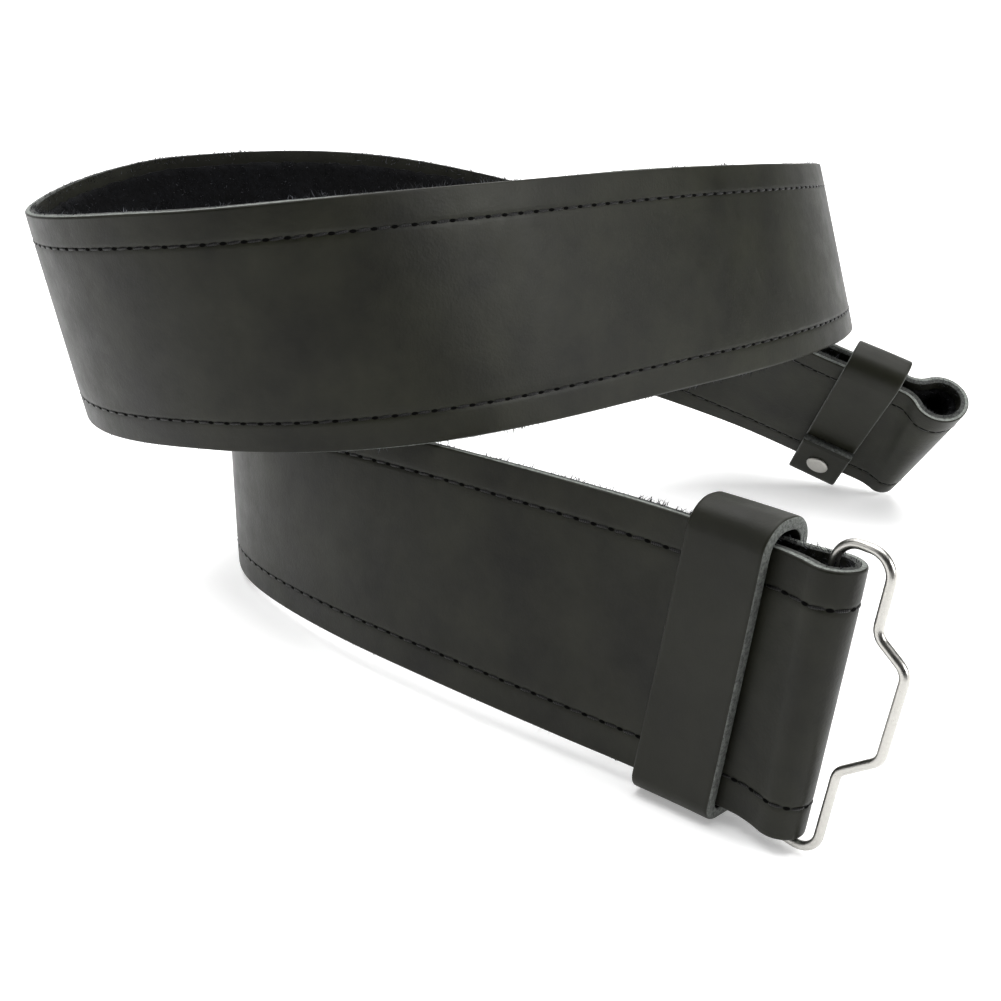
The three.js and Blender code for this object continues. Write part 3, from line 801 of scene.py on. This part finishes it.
def leather(name, dark, light, roughness, grain_scale, grain_depth):
    """Dyed leather: cloudy colour, fine pores and a satin finish."""
    nodes = Nodes(name)
    clouds = nodes.ramp(nodes.noise(55, 5, 0.6), 0.3, 0.7)
    colour = nodes.mix(clouds, grey(dark, *LEATHER_TINT), grey(light, *LEATHER_TINT))
    pores = nodes.add("ShaderNodeTexVoronoi", {"Scale": grain_scale, "Vector": nodes.place()})
    creases = nodes.noise(grain_scale * 0.35, 6, 0.65)
    bumped = nodes.bump(pores.outputs["Distance"], grain_depth, 0.35)
    bumped = nodes.bump(creases, grain_depth * 2.2, 0.5, bumped)
    gloss = nodes.ramp(nodes.noise(120, 6, 0.7), 0.3, 0.7, roughness - 0.05, roughness + 0.07)
    return nodes.finish(Base_Color=colour, Roughness=gloss, Normal=bumped, Specular_IOR_Level=0.2)


def cut_edge(name, dark, light):
    """The bare, fibrous edge of cut leather."""
    nodes = Nodes(name)
    fibrous = nodes.noise(1400, 5, 0.7)
    share = nodes.ramp(fibrous, 0.35, 0.65)
    colour = nodes.mix(share, grey(dark, *EDGE_TINT), grey(light, *EDGE_TINT))
    return nodes.finish(Base_Color=colour, Roughness=0.8, Normal=nodes.bump(fibrous, 0.0003, 0.8))


def pile(name, dark, light):
    """Brushed blue-black pile, in tufts."""
    nodes = Nodes(name)
    tufts = nodes.noise(700, 4, 0.7)
    patches = nodes.noise(90, 3, 0.6)
    share = nodes.ramp(tufts, 0.35, 0.7)
    colour = nodes.mix(share, grey(dark, *PILE_TINT), grey(light, *PILE_TINT))
    shaded = nodes.mix(nodes.ramp(patches, 0.3, 0.7), grey(dark, *PILE_TINT), colour)
    bumped = nodes.bump(tufts, 0.0006, 0.9)
    return nodes.finish(Base_Color=shaded, Roughness=0.9, Normal=bumped, Specular_IOR_Level=0.15)


def fibre(name, dark, light):
    """Loose fibres, no two quite alike."""
    nodes = Nodes(name)
    chance = nodes.add("ShaderNodeNewGeometry").outputs["Random Per Island"]
    shade = nodes.ramp(nodes.noise(240, 3, 0.6), 0.35, 0.65)
    colour = nodes.mix(nodes.ramp(chance, 0.55, 1.0), grey(dark, 0.9, 1.2), grey(light, 0.95, 1.12))
    colour = nodes.mix(shade, grey(dark, *PILE_TINT), colour)
    return nodes.finish(Base_Color=colour, Roughness=0.75, Specular_IOR_Level=0.2)


def thread():
    """Twisted black thread with a wax shine."""
    nodes = Nodes("waxed_thread")
    twist = nodes.add("ShaderNodeTexWave", {"Scale": 900.0, "Distortion": 1.5, "Vector": nodes.place()})
    colour = nodes.mix(twist.outputs["Fac"], grey(0.003), grey(0.01))
    bumped = nodes.bump(twist.outputs["Fac"], 0.00008, 0.7)
    return nodes.finish(Base_Color=colour, Roughness=0.34, Normal=bumped, Specular_IOR_Level=0.2)


def hole_painted_shade():
    """Near-black, as painted shade inside a stitch hole."""
    nodes = Nodes("stitch_hole_painted_shade")
    # near-black colour: painted shade of the hole's inside
    colour = nodes.mix(nodes.noise(900), grey(0.0005), grey(0.002))
    return nodes.finish(Base_Color=colour, Roughness=0.9, Specular_IOR_Level=0.05)


def metal(name, colour, roughness, wear, depth):
    """Warm grey metal with fine marks, wear being their scale and depth their height in metres."""
    nodes = Nodes(name)
    marks = nodes.noise(wear, 6, 0.7)
    worn = nodes.ramp(marks, 0.3, 0.7)
    tint = nodes.mix(worn, grey(colour * 0.86, *METAL_TINT), grey(colour, *METAL_TINT))
    gloss = nodes.ramp(marks, 0.3, 0.7, roughness, roughness + 0.1)
    bumped = nodes.bump(marks, depth, 0.4)
    return nodes.finish(Base_Color=tint, Metallic=1.0, Roughness=gloss, Normal=bumped)


# Studio
def floor_material():
    nodes = Nodes("studio_floor")
    colour = nodes.mix(nodes.noise(3, 2), grey(0.9), grey(0.93))
    return nodes.finish(Base_Color=colour, Roughness=0.9, Emission_Color=grey(1),
                        Emission_Strength=FLOOR_GLOW)


def build_floor():
    """A floor that sweeps up into a backdrop behind the belt."""
    half_width, front, back, bend, height = 3.0, -0.55, 1.6, 0.8, 2.4
    turn = np.linspace(0, math.pi / 2, 16)
    sweep = zip(back + bend * np.sin(turn), bend * (1 - np.cos(turn)))
    curve = [(front, 0), *sweep, (back + bend, height)]
    points = np.array([[(x, y, z) for x in (-half_width, half_width)] for y, z in curve])
    mesh = bpy.data.meshes.new("floor")
    mesh.from_pydata(points.reshape(-1, 3).tolist(), [], grid_faces(len(curve), 2, ring=False).tolist())
    mesh.materials.append(floor_material())
    mesh.polygons.foreach_set("use_smooth", np.ones(len(mesh.polygons), bool))
    floor = bpy.data.objects.new("floor", mesh)
    bpy.context.scene.collection.objects.link(floor)


def area_light(name, place, target, size, power):
    data = bpy.data.lights.new(name, "AREA")
    data.shape = "RECTANGLE"
    data.size, data.size_y = size
    data.energy = power
    light = bpy.data.objects.new(name, data)
    light.location = place
    light.rotation_euler = (Vector(target) - Vector(place)).to_track_quat("-Z", "Y").to_euler()
    bpy.context.scene.collection.objects.link(light)


def build_lights():
    area_light("overhead", (0, 0.15, 1.3), target=(0, 0.05, 0), size=(1.6, 1.4), power=30)
    area_light("left", (-1.2, -0.35, 0.6), target=(0, 0, 0.05), size=(0.7, 0.9), power=2.5)
    area_light("right", (1.3, -0.75, 0.7), target=(0, 0, 0.05), size=(0.9, 0.9), power=20)
    area_light("backdrop", (0, 0.9, 1.5), target=(0, 2.4, 0.4), size=(3.0, 1.0), power=60)


def build_world():
    """A white background, whose light on the belt dims towards the room in front of it."""
    world = bpy.data.worlds.new("studio")
    world.use_nodes = True
    tree = world.node_tree
    towards = tree.nodes.new("ShaderNodeTexCoord")
    axes = tree.nodes.new("ShaderNodeSeparateXYZ")
    tree.links.new(towards.outputs["Generated"], axes.inputs[0])
    depth = tree.nodes.new("ShaderNodeMapRange")
    depth.inputs["From Min"].default_value = -0.85
    depth.inputs["From Max"].default_value = 0.25
    depth.inputs["To Min"].default_value = ROOM_LIGHT
    depth.inputs["To Max"].default_value = REAR_LIGHT
    tree.links.new(axes.outputs["Y"], depth.inputs["Value"])
    rays = tree.nodes.new("ShaderNodeLightPath")
    strength = tree.nodes.new("ShaderNodeMix")
    tree.links.new(rays.outputs["Is Camera Ray"], strength.inputs[0])
    tree.links.new(depth.outputs["Result"], strength.inputs[2])
    strength.inputs[3].default_value = WHITE_LIGHT
    tree.links.new(strength.outputs[0], tree.nodes["Background"].inputs["Strength"])
    bpy.context.scene.world = world


def build_camera():
    data = bpy.data.cameras.new("camera")
    data.sensor_width = SENSOR
    data.lens = SENSOR * CAMERA_FOCUS / PICTURE
    data.clip_start = 0.01
    camera = bpy.data.objects.new("camera", data)
    camera.location = ORIGIN + np.array(CAMERA_BACK)
    camera.rotation_euler = (math.radians(90 - CAMERA_PITCH), 0, 0)
    bpy.context.scene.collection.objects.link(camera)
    bpy.context.scene.camera = camera


def main():
    bpy.context.scene.view_settings.view_transform = "Standard"
    build_camera()
    build_floor()
    build_lights()
    build_world()
    grain = leather("strap_grain", dark=0.006, light=0.017, roughness=0.44,
                    grain_scale=1500, grain_depth=0.00005)
    edge_line = cut_edge("strap_edge_line", dark=0.09, light=0.27)
    edge_body = cut_edge("strap_edge_body", dark=0.008, light=0.07)
    flesh = leather("strap_flesh", dark=0.006, light=0.011, roughness=0.75,
                    grain_scale=900, grain_depth=0.0001)
    build_strap([grain, edge_line, flesh, edge_body])
    build_lining(pile("pile_base", dark=0.0008, light=0.006))
    build_pile(fibre("pile_fibre", dark=0.0008, light=0.1))
    build_edge_fuzz(fibre("edge_fibre", dark=0.006, light=0.17))
    build_stitches(thread())
    # the stitch-hole discs are near-black as painted shade of the holes
    build_stitch_holes(hole_painted_shade())
    keeper_grain = leather("keeper_grain", dark=0.009, light=0.014, roughness=0.42,
                           grain_scale=1900, grain_depth=0.00003)
    keeper_edge = cut_edge("keeper_cut_edge", dark=0.04, light=0.17)
    keeper_materials = [keeper_grain, keeper_edge, flesh, keeper_edge]
    build_keeper("wide_keeper_leather", "wide_keeper", wide_keeper_path(), WIDE_KEEPER_SETBACK,
                 WIDE_KEEPER_WIDTH, WIDE_KEEPER_SKEW, True, keeper_materials)
    build_keeper("narrow_keeper_leather", "narrow_keeper", narrow_keeper_path(), NARROW_KEEPER_START,
                 NARROW_KEEPER_WIDTH, NARROW_KEEPER_SKEW, False, keeper_materials)
    build_rivet(metal("rivet_matte", colour=0.5, roughness=0.42, wear=900, depth=0.00004))
    build_wire_loop(metal("wire_nickel", colour=0.5, roughness=0.25, wear=1400, depth=0.00001))


main()
